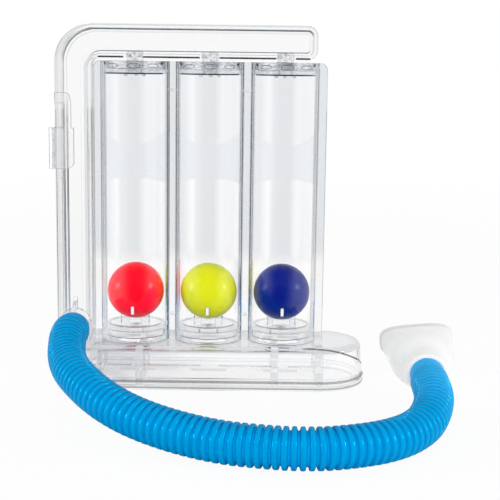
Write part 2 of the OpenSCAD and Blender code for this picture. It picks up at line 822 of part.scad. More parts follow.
module corrugated_hose() {
    outer_last = len(OUTER_RUNS) - 1;
    outer = [for (j = [0 : outer_last])
                each hose_ring(OUTER_RUNS[j], j % 2 == 0 || j == outer_last ? groove_r : crest_r)];
    inner = [for (j = [0 : rib_count]) each hose_ring(j * rib_step, hose_bore_r)];
    first_inner = len(outer);
    last_outer = outer_last * HOSE_SIDES;
    last_inner = first_inner + rib_count * HOSE_SIDES;
    faces = concat(
        [for (j = [0 : outer_last - 1]) each band(j * HOSE_SIDES, (j + 1) * HOSE_SIDES, HOSE_SIDES, true)],
        [for (j = [0 : rib_count - 1])
            each band(first_inner + j * HOSE_SIDES, first_inner + (j + 1) * HOSE_SIDES, HOSE_SIDES, false)],
        band(0, first_inner, HOSE_SIDES, false),
        band(last_outer, last_inner, HOSE_SIDES, true));
    color([0, 0.58, 0.86]) polyhedron(points = concat(outer, inner), faces = faces);
}

module hose_cuff_duct() {
    color([0, 0.56, 0.84])
        difference() {
            union() {
                rod_y(port_x, port_z, cuff_d / 2, hose_start_y, port_face_y);
                rod_y(port_x, port_z, cuff_bead_d / 2, hose_start_y, hose_start_y + cuff_bead_w);
            }
            rod_y(port_x, port_z, spigot_r + cuff_fit, hose_start_y - over, port_face_y + over);
        }
}

// Puts a piece that is drawn along +Y at the hose's far end, in line with it
module at_hose_end() {
    translate(hose_end) rotate([0, 0, mouth_turn]) children();
}

module hose_cuff_mouth() {
    color([0, 0.56, 0.84])
        at_hose_end()
            difference() {
                union() {
                    rod_y(0, 0, cuff_d / 2, 0, cuff_show + cuff_grip);
                    rod_y(0, 0, cuff_bead_d / 2, 0, cuff_bead_w);
                }
                rod_y(0, 0, cuff_bore_d / 2, -over, cuff_show + cuff_grip + over);
            }
}

// The mouthpiece's cross sections past its socket: place along it as a share of its free length,
// then how far it has gone from the socket to the round body and from the body to the lips
MOUTH_LOFT_SHARES = [
    [0, 0, 0], [0.04, 0.12, 0], [0.1, 0.42, 0], [0.17, 0.74, 0], [0.25, 0.94, 0], [0.34, 1, 0],
    [0.44, 1, 0.1], [0.55, 1, 0.3], [0.66, 1, 0.54], [0.77, 1, 0.76], [0.87, 1, 0.92], [0.93, 1, 0.98]];
BEAD_SHARES = [[0.95, 1], [0.985, 1], [1, 0.4]];
MOUTH_SIDES = 28;
mouth_start = cuff_show;
loft_start = cuff_show + cuff_grip;
loft_len = mouth_start + mouth_len - loft_start;
socket_r = socket_d / 2;
socket_bore_r = cuff_d / 2 + socket_fit;
ROUND_POWER = 1;
LIP_POWER = 0.72;

function mix(a, b, t) = a + (b - a) * t;

function bent(v, power) = sign(v) * pow(abs(v), power);

// Half width and half height of the mouthpiece for a row of the loft table
function loft_half(row, inset) =
    [mix(mix(socket_r - mouth_wall / 4, mouth_body_w / 2, row[1]), mouth_w / 2 - bead_proud, row[2]) - inset,
     mix(mix(socket_r - mouth_wall / 4, mouth_body_h / 2, row[1]), mouth_h / 2 - bead_proud, row[2]) - inset];

function mouth_ring(y, half, power) =
    [for (k = [0 : MOUTH_SIDES - 1])
        let (a = 360 * k / MOUTH_SIDES)
        [half[0] * bent(cos(a), power), y, half[1] * bent(sin(a), power)]];

module mouth_loft() {
    body = [for (row = MOUTH_LOFT_SHARES)
               mouth_ring(loft_start - over + (loft_len + over) * row[0], loft_half(row, 0),
                          mix(ROUND_POWER, LIP_POWER, row[2]))];
    bead = [for (row = BEAD_SHARES)
               mouth_ring(loft_start + loft_len * row[0],
                          [mouth_w / 2 - bead_proud * (1 - row[1]), mouth_h / 2 - bead_proud * (1 - row[1])],
                          LIP_POWER)];
    bore = [for (i = [len(MOUTH_LOFT_SHARES) - 1 : -1 : 0])
               let (row = MOUTH_LOFT_SHARES[i])
               mouth_ring(i == len(MOUTH_LOFT_SHARES) - 1 ? loft_start + loft_len
                          : loft_start - over + (loft_len + over) * row[0],
                          loft_half(row, mouth_wall * (i == 0 ? 0.5 : 1)),
                          mix(ROUND_POWER, LIP_POWER, row[2]))];
    rings = concat(body, bead, bore);
    count = len(rings);
    polyhedron(
        points = [for (ring = rings) each ring],
        faces = [for (j = [0 : count - 1])
                    each band(j * MOUTH_SIDES, ((j + 1) % count) * MOUTH_SIDES, MOUTH_SIDES, true)]);
}

module mouthpiece() {
    color([0.94, 0.94, 0.93])
        at_hose_end() {
            difference() {
                rod_y(0, 0, socket_r, mouth_start, loft_start);
                rod_y(0, 0, socket_bore_r, mouth_start - over, loft_start + over);
            }
            rotate([0, -mouth_roll, 0]) mouth_loft();
        }
}

chamber_front();
chamber_rear();
cap_left();
cap_middle();
cap_right();
seat_left();
seat_middle();
seat_right();
ball_red();
ball_yellow();
ball_blue();
duct_shell();
duct_cover();
mouthpiece_clip();
foot_shell();
foot_plate();
hose_cuff_duct();
corrugated_hose();
hose_cuff_mouth();
mouthpiece();
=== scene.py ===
"""Looks of a three ball breathing trainer: clear mouldings, balls, a ribbed hose and a mouthpiece."""

import math

import bmesh
import bpy
from mathutils import Matrix, Vector


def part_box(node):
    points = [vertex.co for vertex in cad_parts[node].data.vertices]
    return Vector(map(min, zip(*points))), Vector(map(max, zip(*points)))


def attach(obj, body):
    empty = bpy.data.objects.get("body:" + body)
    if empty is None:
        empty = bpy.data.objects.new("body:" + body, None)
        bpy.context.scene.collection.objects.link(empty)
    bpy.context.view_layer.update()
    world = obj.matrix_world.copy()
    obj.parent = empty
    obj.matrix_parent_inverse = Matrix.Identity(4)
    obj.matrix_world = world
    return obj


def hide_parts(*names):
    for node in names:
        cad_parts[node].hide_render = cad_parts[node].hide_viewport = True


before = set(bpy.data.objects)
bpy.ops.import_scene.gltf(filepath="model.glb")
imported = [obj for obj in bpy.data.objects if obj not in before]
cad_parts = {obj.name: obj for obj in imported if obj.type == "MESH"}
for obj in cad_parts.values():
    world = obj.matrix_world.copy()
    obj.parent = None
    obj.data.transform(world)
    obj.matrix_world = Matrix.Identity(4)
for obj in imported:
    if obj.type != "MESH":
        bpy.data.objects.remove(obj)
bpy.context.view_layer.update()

# Sizes and places are in millimetres, apart from those that are said to be in metres
MM = 0.001
TRAINER, LIP_PIECE = "trainer", "lip_piece"
WHITE = (1.0, 1.0, 1.0)

# The hose's route, as part.scad has it
HOSE_ROUTE = [
    (-58, -22, 26.5), (-58, -25, 26.5), (-58, -28, 26.5), (-57.9, -33, 25.7), (-57.3, -39, 24.1),
    (-56.2, -46.5, 22.4), (-54.1, -55, 20.8), (-50.7, -64, 19.5), (-45.8, -73, 18), (-40, -81.5, 16.2),
    (-32.8, -89.5, 14.2), (-24, -96.7, 12.2),
    (-13.5, -103, 10.4), (-2, -108.4, 9), (10, -113, 8.2), (22, -116, 8), (34, -118, 8),
    (46, -117.5, 8), (57.5, -114, 8), (68, -108.5, 8), (77, -100.5, 8.2), (83.8, -91, 9),
    (88, -81, 10.5), (90.5, -71.5, 12), (91.5, -63, 13), (92, -55, 13), (92.5, -47, 13)]


def corners(node):
    """A CAD node's lowest and highest corner."""
    return [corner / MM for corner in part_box(node)]


# From the CAD model: the balls, the middles of the three tubes from left to right, and the port's face
BALL_LOW, BALL_HIGH = corners("ball_red")
BALL_R, BALL_Z = (BALL_HIGH.z - BALL_LOW.z) / 2, (BALL_HIGH.z + BALL_LOW.z) / 2
TUBE_X = [corners(ball)[1].x - BALL_R for ball in ("ball_red", "ball_yellow", "ball_blue")]
TUBE_PITCH = TUBE_X[1] - TUBE_X[0]
PORT_FACE_Y = corners("hose_cuff_duct")[1].y
# The foot's top and the radius of its ends, the underside of caps and seats, and the caps' radius
FOOT_HIGH = corners("foot_shell")[1]
FOOT_TOP, FOOT_END_R = FOOT_HIGH.z, FOOT_HIGH.y
CAP_FLOOR, SEAT_FLOOR = corners("cap_middle")[0].z, corners("seat_middle")[0].z
CAP_R = corners("cap_middle")[1].x - TUBE_X[1]


# Node helpers

def set_inputs(node, values):
    """Sets a node's inputs by name."""
    for key, value in values.items():
        node.inputs[key].default_value = value


def add_node(tree, kind, values=None, **props):
    """A node with its inputs set by name, and its properties set by keyword."""
    node = tree.nodes.new(kind)
    for key, value in props.items():
        setattr(node, key, value)
    set_inputs(node, values or {})
    return node


def feed(tree, value, socket):
    """Sets a socket to a number, or links another socket to it."""
    if isinstance(value, (int, float)):
        socket.default_value = value
    else:
        tree.links.new(value, socket)


def maths(tree, operation, a, b):
    """A Math node on two inputs, each a socket or a number."""
    node = add_node(tree, "ShaderNodeMath", operation=operation)
    feed(tree, a, node.inputs[0])
    feed(tree, b, node.inputs[1])
    return node.outputs["Value"]


def mixed(tree, share, low, high):
    """low where the share is 0 and high where it is 1."""
    node = add_node(tree, "ShaderNodeMix")
    for name, value in (("Factor", share), ("A", low), ("B", high)):
        feed(tree, value, node.inputs[name])
    return node.outputs["Result"]


def multiplied(tree, first, second):
    """The product of two colours."""
    node = add_node(tree, "ShaderNodeMix", {"Factor": 1}, data_type="RGBA", blend_type="MULTIPLY")
    tree.links.new(first, node.inputs["A"])
    tree.links.new(second, node.inputs["B"])
    return node.outputs["Result"]


def between(tree, value, low, high, at_low=0.0, at_high=1.0, way="SMOOTHSTEP"):
    """at_low where the value is low, at_high where it is high, and smooth between them."""
    node = add_node(tree, "ShaderNodeMapRange",
                    {"From Min": low, "From Max": high, "To Min": at_low, "To Max": at_high},
                    interpolation_type=way)
    tree.links.new(value, node.inputs["Value"])
    return node.outputs["Result"]


def colour_ramp(tree, fac, low, high, start=0.0, end=1.0):
    """The low colour up to start, the high one from end, and a straight run between them."""
    ramp = add_node(tree, "ShaderNodeValToRGB")
    for mark, place, colour in zip(ramp.color_ramp.elements, (start, end), (low, high)):
        mark.position, mark.color = place, (*colour, 1)
    tree.links.new(fac, ramp.inputs["Fac"])
    return ramp.outputs["Color"]


def object_place(tree):
    """The piece's own place, so that what is drawn on it doesn't slide in other views."""
    return add_node(tree, "ShaderNodeTexCoord").outputs["Object"]


def axes_of(tree, vector):
    """A vector's X, Y and Z."""
    axes = add_node(tree, "ShaderNodeSeparateXYZ")
    tree.links.new(vector, axes.inputs["Vector"])
    return axes.outputs


def noise(tree, scale, detail=2.0):
    tex = add_node(tree, "ShaderNodeTexNoise", {"Scale": scale, "Detail": detail})
    tree.links.new(object_place(tree), tex.inputs["Vector"])
    return tex.outputs["Fac"]


def stretched_noise(tree, scales, distortion=0.0):
    """Noise with its own scale along each axis."""
    stretch = add_node(tree, "ShaderNodeMapping", {"Scale": scales})
    tree.links.new(object_place(tree), stretch.inputs["Vector"])
    tex = add_node(tree, "ShaderNodeTexNoise", {"Scale": 1.0, "Detail": 2.0, "Distortion": distortion})
    tree.links.new(stretch.outputs["Vector"], tex.inputs["Vector"])
    return tex.outputs["Fac"]


def mottle(tree, low, high, scale, start=0.3, end=0.7, detail=2.0):
    """Soft blotches of two colours."""
    return colour_ramp(tree, noise(tree, scale, detail), low, high, start, end)


def bump(tree, shader, scale, strength, depth, detail=2.0):
    """Small waves in the surface."""
    node = add_node(tree, "ShaderNodeBump", {"Strength": strength, "Distance": depth * MM})
    tree.links.new(noise(tree, scale, detail), node.inputs["Height"])
    tree.links.new(node.outputs["Normal"], shader.inputs["Normal"])


def mix_shaders(tree, share, first, second, out):
    """The surface: the first shader where the share is 0, the second where it is 1."""
    node = add_node(tree, "ShaderNodeMixShader")
    for socket, value in zip(node.inputs, (share, first, second)):
        tree.links.new(value, socket)
    tree.links.new(node.outputs["Shader"], out.inputs["Surface"])


def new_material(name):
    """A material, its nodes, its main shader and its output."""
    mat = bpy.data.materials.new(name)
    mat.use_nodes = True
    tree = mat.node_tree
    tree.nodes.clear()
    out = add_node(tree, "ShaderNodeOutputMaterial")
    shader = add_node(tree, "ShaderNodeBsdfPrincipled")
    tree.links.new(shader.outputs["BSDF"], out.inputs["Surface"])
    return mat, tree, shader, out


# Clear plastic

# How it bends light, its tint in depth, and the surfaces that light may meet before it leaves straight
CLEAR_FINISH = {"Transmission Weight": 1, "Roughness": 0, "IOR": 1.42}
CLEAR_TINT, SHADOW_TINT, LONGEST_WAY = (0.75, 0.8, 0.84), (0.985, 0.99, 0.995), 9
CLEAR_WAVES = {"scale": 60, "detail": 1.0, "strength": 0.12, "depth": 0.4}
# Where a wall is seen edge on, and its colour there
FACING_BLEND, EDGE_ON_FROM, EDGE_ON = 0.25, 0.5, (0.95, 0.955, 0.96)
# How dense each moulding is to light
REAR_DENSITY, TUBE_DENSITY, DUCT_DENSITY, FOOT_DENSITY, CAP_DENSITY, EDGE_DENSITY = 12, 8, 8, 10, 20, 35
REAR_EDGE_ON, TUBE_EDGE_ON = (0.96, 0.965, 0.97), (0.99, 0.99, 0.99)
# Rounded edges and seam lines, darker as painted shade for the dark lines they show: their tones, and how
# much bluer than grey they are
EDGE_TONES = {"black": 0.06, "dark": 0.25, "grey": 0.5, "light": 0.8, "pale": 0.93}
EDGE_BLUE = 1.04

# Painted reflections of strip lamps in each tube: place across it and level, and the painted shade between
# them
STREAKS = [(-15, 0.0), (-10, 0.1), (-8.2, 0.45), (-6.8, 0.85), (-5.0, 0.1), (2.2, 0.0), (4.0, 0.45),
           (5.5, 0.7), (7.5, 0.4), (10.8, 0.45), (11.8, 0.9), (13, 0.5), (15, 0.0)]
STREAK_SHADE, UPPER_STREAKS = (0.83, 0.85, 0.87), 0.55
# Heights between which the painted shade fades out above the balls
CLEAR_BELOW, SHADED_ABOVE = 52, 62
# The band without painted streaks: each edge's height, how far it bows over a tube's pitch, and half its
# softness
BAND_TOP, BAND_TOP_BOW, BAND_TOP_SOFT = 105.9, 36, 0.4
BAND_FOOT, BAND_FOOT_BOW, BAND_FOOT_SOFT = 92.2, 18, 0.5

# The foot: heights between which the painted shade on its top begins and is full
DECK_FROM, DECK_FULL, DECK_SHADE = FOOT_TOP - 4, FOOT_TOP - 1, (0.81, 0.82, 0.84)
# Its clouds, painted grey reflections: scales along the axes, shade, and the noise from clear to cloud
CLOUD_SCALES, CLOUD_SHADE, CLOUD_NOISE = (45, 45, 170), (0.82, 0.82, 0.84), (0.3, 0.65)
# Where the clouds begin and where they are full, along X
CLOUDS_FROM, CLOUDS_FULL = 12, -45

# The caps' blotches of painted shade: scales along the axes, how twisted they are, and the noise between
# shade and clear
CAP_SCALES, CAP_TWIST, CAP_SHADE, CAP_NOISE = (330, 330, 900), 0.8, (0.66, 0.67, 0.69), (0.36, 0.52)


def clear_plastic(name, density, base=WHITE, edge_on=EDGE_ON, shade=None):
    """Clear styrene: glass that lets lamps through and has another colour where it is seen edge on. Light
    that goes astray in it for long leaves it straight. shade draws what darkens it from place to place."""
    mat, tree, shader, out = new_material(name)
    set_inputs(shader, CLEAR_FINISH)
    facing = add_node(tree, "ShaderNodeLayerWeight", {"Blend": FACING_BLEND})
    colour = colour_ramp(tree, facing.outputs["Facing"], base, edge_on, EDGE_ON_FROM)
    if shade:
        colour = multiplied(tree, colour, shade(tree))
    tree.links.new(colour, shader.inputs["Base Color"])
    bump(tree, shader, **CLEAR_WAVES)
    depth = add_node(tree, "ShaderNodeVolumeAbsorption", {"Color": (*CLEAR_TINT, 1), "Density": density})
    tree.links.new(depth.outputs["Volume"], out.inputs["Volume"])
    path = add_node(tree, "ShaderNodeLightPath")
    astray = maths(tree, "GREATER_THAN", path.outputs["Ray Depth"], LONGEST_WAY)
    straight = maths(tree, "MAXIMUM", path.outputs["Is Shadow Ray"], astray)
    through = add_node(tree, "ShaderNodeBsdfTransparent", {"Color": (*SHADOW_TINT, 1)})
    mix_shaders(tree, straight, shader.outputs["BSDF"], through.outputs["BSDF"], out)
    return mat


def edge_shade_plastics():
    """The darker plastic of rounded edges and seam lines, by its tone's name: painted shade for their dark
    lines.
    """
    plastics = {}
    for number, (name, tone) in enumerate(EDGE_TONES.items()):
        colour = (tone, tone, EDGE_BLUE * tone)
        plastics[name] = clear_plastic(f"clear_styrene_edge_{number}", EDGE_DENSITY, colour, colour)
    return plastics


def streak_levels(tree, place):
    """The streaks' levels across one tube, from 0 at its left to 1 at its right."""
    ramp = add_node(tree, "ShaderNodeValToRGB")
    tree.links.new(place, ramp.inputs["Fac"])
    marks = ramp.color_ramp.elements
    while len(marks) < len(STREAKS):
        marks.new(0.5)
    for mark, (across, level) in zip(marks, STREAKS):
        mark.position, mark.color = across / TUBE_PITCH + 0.5, (level, level, level, 1)
    return ramp.outputs["Color"]


def painted_tube_streaks(tree):
    """Painted reflections: soft upright streaks of light in each tube with painted shade between them,
    that break off in a bowed band half way up.
    """
    axes = axes_of(tree, object_place(tree))
    pitches = maths(tree, "ADD", maths(tree, "MULTIPLY", axes["X"], 1 / (TUBE_PITCH * MM)), 0.5)
    place = maths(tree, "FRACT", pitches, 0)
    levels = streak_levels(tree, place)
    aside = maths(tree, "SUBTRACT", place, 0.5)
    bow = maths(tree, "MULTIPLY", aside, aside)
    above = maths(tree, "SUBTRACT", axes["Z"], maths(tree, "MULTIPLY", bow, BAND_TOP_BOW * MM))
    below = maths(tree, "ADD", axes["Z"], maths(tree, "MULTIPLY", bow, BAND_FOOT_BOW * MM))
    upper = between(tree, above, (BAND_TOP - BAND_TOP_SOFT) * MM, (BAND_TOP + BAND_TOP_SOFT) * MM)
    lower = between(tree, below, (BAND_FOOT + BAND_FOOT_SOFT) * MM, (BAND_FOOT - BAND_FOOT_SOFT) * MM)
    shown = maths(tree, "MAXIMUM", maths(tree, "MULTIPLY", upper, UPPER_STREAKS), lower)
    streak = maths(tree, "MULTIPLY", shown, levels)
    streak = maths(tree, "MAXIMUM", streak, between(tree, axes["Z"], SHADED_ABOVE * MM, CLEAR_BELOW * MM))
    return colour_ramp(tree, streak, STREAK_SHADE, WHITE)


def foot_shade(tree):
    """Painted shade: greyer where the foot's top is, clear below it, with soft clouds of painted
    reflection towards its left end.
    """
    axes = axes_of(tree, object_place(tree))
    deck = colour_ramp(tree, between(tree, axes["Z"], DECK_FROM * MM, DECK_FULL * MM), WHITE, DECK_SHADE)
    clouds = between(tree, stretched_noise(tree, CLOUD_SCALES), *CLOUD_NOISE)
    leftward = between(tree, axes["X"], CLOUDS_FROM * MM, CLOUDS_FULL * MM)
    clouds = colour_ramp(tree, maths(tree, "MULTIPLY", clouds, leftward), WHITE, CLOUD_SHADE)
    return multiplied(tree, deck, clouds)


def cap_shade(tree):
    """Painted shade for the caps' many small steps and screw tops, seen through one another: blotches that
    lie flat.
    """
    return colour_ramp(tree, stretched_noise(tree, CAP_SCALES, CAP_TWIST), CAP_SHADE, WHITE, *CAP_NOISE)


# Coloured, blue, milky and white plastic, with how deep light goes into each, in metres

# The balls glow faintly in their own colour: painted light
BALL_FINISH_AND_GLOW = {"Roughness": 0.24, "Specular IOR Level": 0.18, "Subsurface Weight": 0.15,
               "Subsurface Radius": (0.003, 0.002, 0.002), "Emission Strength": 0.06}
HOSE_FINISH = {"Roughness": 0.22, "Metallic": 0.2, "Specular IOR Level": 0.04,
               "Specular Tint": (0.12, 0.8, 1.0, 1), "Subsurface Weight": 0.1,
               "Subsurface Radius": (0.001, 0.002, 0.004)}
CLIP_FINISH = {"Transmission Weight": 0.88, "Roughness": 0.2, "IOR": 1.2}
# The mouthpiece glows white: painted light, which the painted marks on the tubes share with its plastic
MOUTH_FINISH_AND_GLOW = {"Roughness": 0.36, "Subsurface Weight": 0.35, "Subsurface Radius": (0.004, 0.004, 0.004),
                "Emission Color": (*WHITE, 1), "Emission Strength": 0.36}
# The hose's colours, how high on a rib the crest's one is full, and its fine marks
# The grooves' blue is lighter than the crests': painted light against the grooves' shade
HOSE_GROOVE, HOSE_CREST, CREST_FULL = (0.02, 0.45, 0.88), (0.015, 0.385, 0.75), 0.7
HOSE_MARKS = (0.9, 0.92, 0.95)
# Painted light on the hose's far end, which is lighter: where that begins and is full along X and Y, and
# the painted shade of the rest
LIT_FROM_X, LIT_FULL_X = 60, 80
LIT_FROM_Y, LIT_FULL_Y = -95, -65
HOSE_SHADE = (0.0, 0.745, 0.79)
# The mouthpiece's two tones, and the painted shade of its greyer rim: where that begins and is full along
# Y, and its shade
MOUTH_TONES = (0.45, 0.45, 0.447), (0.47, 0.47, 0.467)
RIM_FROM, RIM_FULL, RIM_SHADE = 23, 25, (0.72, 0.72, 0.72)
CLIP_TONES = (0.93, 0.93, 0.95), (0.98, 0.98, 0.99)


def ball_plastic(name, colour, shade):
    """Gloss moulded plastic, with a little depth, faint flow marks and a faint painted glow in its own
    colour.
    """
    mat, tree, shader, _ = new_material(name)
    flow = mottle(tree, shade, colour, scale=90, start=0.25, end=0.65, detail=3.0)
    tree.links.new(flow, shader.inputs["Base Color"])
    set_inputs(shader, {**BALL_FINISH_AND_GLOW, "Emission Color": (*colour, 1)})
    bump(tree, shader, scale=700, strength=0.05, depth=0.2)
    return mat


def hose_plastic():
    """Satin blue hose: grooves painted a lighter blue against their shade, fine marks, and painted light
    on its far end.
    """
    mat, tree, shader, _ = new_material("blue_hose")
    height = add_node(tree, "ShaderNodeAttribute", attribute_name="rib")
    ribs = colour_ramp(tree, height.outputs["Fac"], HOSE_GROOVE, HOSE_CREST, end=CREST_FULL)
    ribs = multiplied(tree, ribs, mottle(tree, HOSE_MARKS, WHITE, scale=160, detail=3.0))
    axes = axes_of(tree, object_place(tree))
    lit = maths(tree, "MULTIPLY", between(tree, axes["X"], LIT_FROM_X * MM, LIT_FULL_X * MM),
                between(tree, axes["Y"], LIT_FROM_Y * MM, LIT_FULL_Y * MM))
    colour = multiplied(tree, ribs, colour_ramp(tree, lit, HOSE_SHADE, WHITE))
    tree.links.new(colour, shader.inputs["Base Color"])
    set_inputs(shader, HOSE_FINISH)
    bump(tree, shader, scale=500, strength=0.06, depth=0.3)
    return mat


def milky_plastic():
    """The clip's polypropylene: clear, but with a milky haze."""
    mat, tree, shader, _ = new_material("milky_clip")
    tree.links.new(mottle(tree, *CLIP_TONES, scale=60), shader.inputs["Base Color"])
    set_inputs(shader, CLIP_FINISH)
    bump(tree, shader, scale=300, strength=0.05, depth=0.2)
    return mat


def white_plastic():
    """Soft white polythene that lets a little light through, glows white as painted light, and is greyer
    at the thick rim by painted shade.
    """
    mat, tree, shader, _ = new_material("white_mouthpiece")
    place = axes_of(tree, object_place(tree))["Y"]
    rim = colour_ramp(tree, between(tree, place, RIM_FROM * MM, RIM_FULL * MM), WHITE, RIM_SHADE)
    colour = multiplied(tree, mottle(tree, *MOUTH_TONES, scale=45), rim)
    tree.links.new(colour, shader.inputs["Base Color"])
    set_inputs(shader, MOUTH_FINISH_AND_GLOW)
    bump(tree, shader, scale=900, strength=0.05, depth=0.2)
    return mat


# Mesh helpers

def add_piece(name, points, faces, body, material):
    """A smooth piece from points in millimetres, that rides on a body."""
    mesh = bpy.data.meshes.new(name)
    mesh.from_pydata([tuple(p * MM) for p in points], [], faces)
    mesh.update()
    mesh.shade_smooth()
    mesh.materials.append(material)
    piece = bpy.data.objects.new(name, mesh)
    bpy.context.scene.collection.objects.link(piece)
    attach(piece, body)
    return piece


def ring_faces(first, second, sides):
    """Quads between two rings of a tube, which turn outward where the rings turn clockwise along it."""
    return [(first + k, second + k, second + (k + 1) % sides, first + (k + 1) % sides)
            for k in range(sides)]


def closed_tube(rings):
    """Points and faces of a ring that is swept round a closed profile."""
    sides = len(rings[0])
    points = [p for ring in rings for p in ring]
    faces = []
    for j in range(len(rings)):
        faces += ring_faces(j * sides, (j + 1) % len(rings) * sides, sides)
    return points, faces


def full_turn(sides, offset=0.0):
    """Evenly spaced angles round a circle, in radians."""
    return [2 * math.pi * (k + offset) / sides for k in range(sides)]


def sweep(first, last, steps):
    """Evenly spaced angles from the first to the last, both in degrees, in radians."""
    return [math.radians(first + (last - first) * k / steps) for k in range(steps + 1)]


def square_ring(centre, side, up, radius, sides):
    """A ring of points round a centre, in the plane of side and up."""
    return [centre + radius * (side * math.cos(a) + up * math.sin(a)) for a in full_turn(sides, 0.5)]


def apply_modifiers(piece):
    graph = bpy.context.evaluated_depsgraph_get()
    mesh = bpy.data.meshes.new_from_object(piece.evaluated_get(graph))
    piece.modifiers.clear()
    piece.data = mesh


def sharpen(mesh, angle):
    """Keeps edges sharp where the surface turns by more than an angle in degrees."""
    mesh.set_sharp_from_angle(angle=math.radians(angle))


def flat_normals(piece, sharp_from=32, lead_of_large=100):
    """Smooth shading in which the large faces stay flat and the small ones between them turn."""
    piece.data.shade_smooth()
    sharpen(piece.data, sharp_from)
    normals = piece.modifiers.new("normals", "WEIGHTED_NORMAL")
    normals.keep_sharp, normals.weight = True, lead_of_large
    apply_modifiers(piece)


# The hose

CREST_R, GROOVE_R, HOSE_BORE_R = 7.8, 6.3, 5.6
RIB_PITCH, HOSE_SIDES = 3.0, 40
# One rib: place along the pitch, and height between groove and crest
RIB_SHARES = [(0.0, 0.0), (0.08, 0.03), (0.13, 0.18), (0.17, 0.5), (0.21, 0.82), (0.29, 0.97),
              (0.5, 1.0), (0.71, 0.97), (0.79, 0.82), (0.83, 0.5), (0.87, 0.18), (0.92, 0.03)]
# Points between two of the route, and how many of them make one step of the cord's path
ROUTE_STEPS, PATH_STEP = 24, 4
# Half the length over which the hose's direction is read
WAY_REACH = 1.5


def curve_point(a, b, c, d, t):
    """A point on the smooth curve through b and c, as in part.scad."""
    return (2 * b + (c - a) * t + (2 * a - 5 * b + 4 * c - d) * t * t
            + (3 * b - a - 3 * c + d) * t * t * t) / 2


def smooth_route(route):
    """The route as closely spaced points on one smooth curve."""
    way = [Vector(p) for p in route]
    way = [2 * way[0] - way[1], *way, 2 * way[-1] - way[-2]]
    line = [curve_point(*way[i:i + 4], k / ROUTE_STEPS) for i in range(len(way) - 3)
            for k in range(ROUTE_STEPS)]
    return line + [way[-2]]


class Line:
    """A line of points that is read by length along it."""

    def __init__(self, points):
        self.points = points
        self.runs = [0.0]
        for a, b in zip(points, points[1:]):
            self.runs.append(self.runs[-1] + (b - a).length)
        self.length = self.runs[-1]
        self.at = 0

    def point(self, run):
        run = min(max(run, 0.0), self.length)
        while self.at > 0 and self.runs[self.at] > run:
            self.at -= 1
        while self.at < len(self.runs) - 2 and self.runs[self.at + 1] < run:
            self.at += 1
        a, b = self.runs[self.at], self.runs[self.at + 1]
        return self.points[self.at].lerp(self.points[self.at + 1], (run - a) / (b - a))

    def way(self, run):
        return (self.point(run + WAY_REACH) - self.point(run - WAY_REACH)).normalized()

    def ring(self, run, radius):
        """A ring of points square to the line. It turns clockwise for one who looks along the line."""
        centre, way = self.point(run), self.way(run)
        side = way.cross(Vector((0, 0, 1))).normalized()
        return square_ring(centre, side, side.cross(way), radius, HOSE_SIDES)


def mark_ribs(piece, heights):
    """Writes each point's height on its rib, which the hose's plastic reads."""
    rib = piece.data.attributes.new("rib", "FLOAT", "POINT")
    rib.data.foreach_set("value", heights)


def make_hose(material):
    """The ribbed hose with its bore, and its centre line."""
    line = Line(smooth_route(HOSE_ROUTE))
    ribs = int(line.length / RIB_PITCH)
    step = line.length / ribs
    rings, heights = [], []
    for i in range(ribs):
        for place, share in RIB_SHARES:
            rings.append(line.ring((i + place) * step, GROOVE_R + (CREST_R - GROOVE_R) * share))
            heights.append(share)
    rings.append(line.ring(line.length, GROOVE_R))
    rings += [line.ring(i * step, HOSE_BORE_R) for i in range(ribs, -1, -1)]
    heights += [0.0] * (len(rings) - len(heights))
    points, faces = closed_tube(rings)
    hose = add_piece("ribbed_hose", points, faces, TRAINER, material)
    mark_ribs(hose, [h for h in heights for _ in range(HOSE_SIDES)])
    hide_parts("corrugated_hose")
    return hose, line


# The hose's cuffs

CUFF_R, CUFF_BORE_R, CUFF_CHAMFER = 7.1, 5.5, 0.3
# How far the far cuff shows and how far it goes into the mouthpiece
CUFF_SHOW, CUFF_GRIP = 10, 11
# The port's spigot in the near cuff, and the air between them
SPIGOT_R, SPIGOT_AIR = 5.9, 0.05
CUFF_SIDES, CUFF_SHARP_FROM = 64, 50
# A cuff's outside: place from the ribs, and how far it stands out from the cuff's radius
CUFF_HEAD = [(0, -0.5), (0.15, 0.25), (0.4, 0.4), (1.7, 0.4), (2.0, 0.25), (2.25, 0), (2.5, -0.15),
             (2.9, -0.15), (3.2, 0)]
# The same at its other end, with the place from that end
CUFF_TAIL = [(0.6, 0), (0.15, -0.15), (0, -0.5)]


def turned(profile, sides):
    """A closed profile of (place along the axis, radius), turned about an axis along +Y."""
    return closed_tube([[Vector((r * math.cos(a), y, r * math.sin(a))) for a in full_turn(sides)]
                        for y, r in profile])


def make_cuff(name, node, length, bore_r, place, material):
    """A smooth cuff with a bead and a groove where it meets the ribs. It runs from the ribs along +Y."""
    profile = [(0, bore_r)]
    profile += [(y, CUFF_R + out) for y, out in CUFF_HEAD]
    profile += [(length - y, CUFF_R + out) for y, out in CUFF_TAIL]
    profile += [(length, bore_r + CUFF_CHAMFER), (length - CUFF_CHAMFER, bore_r)]
    points, faces = turned(profile, CUFF_SIDES)
    cuff = add_piece(name, [place @ p for p in points], faces, TRAINER, material)
    mark_ribs(cuff, [0.0] * len(points))
    sharpen(cuff.data, CUFF_SHARP_FROM)
    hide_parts(node)
    return cuff


def port_place():
    """At the hose's start, with +Y towards the duct."""
    return Matrix.Translation(Vector(HOSE_ROUTE[0]))


def mouth_place():
    """At the hose's far end, with +Y in line with it."""
    a, b = (Vector(p) for p in HOSE_ROUTE[-2:])
    return Matrix.Translation(b) @ Matrix.Rotation(-math.atan2(b.x - a.x, b.y - a.y), 4, "Z")


# The mouthpiece

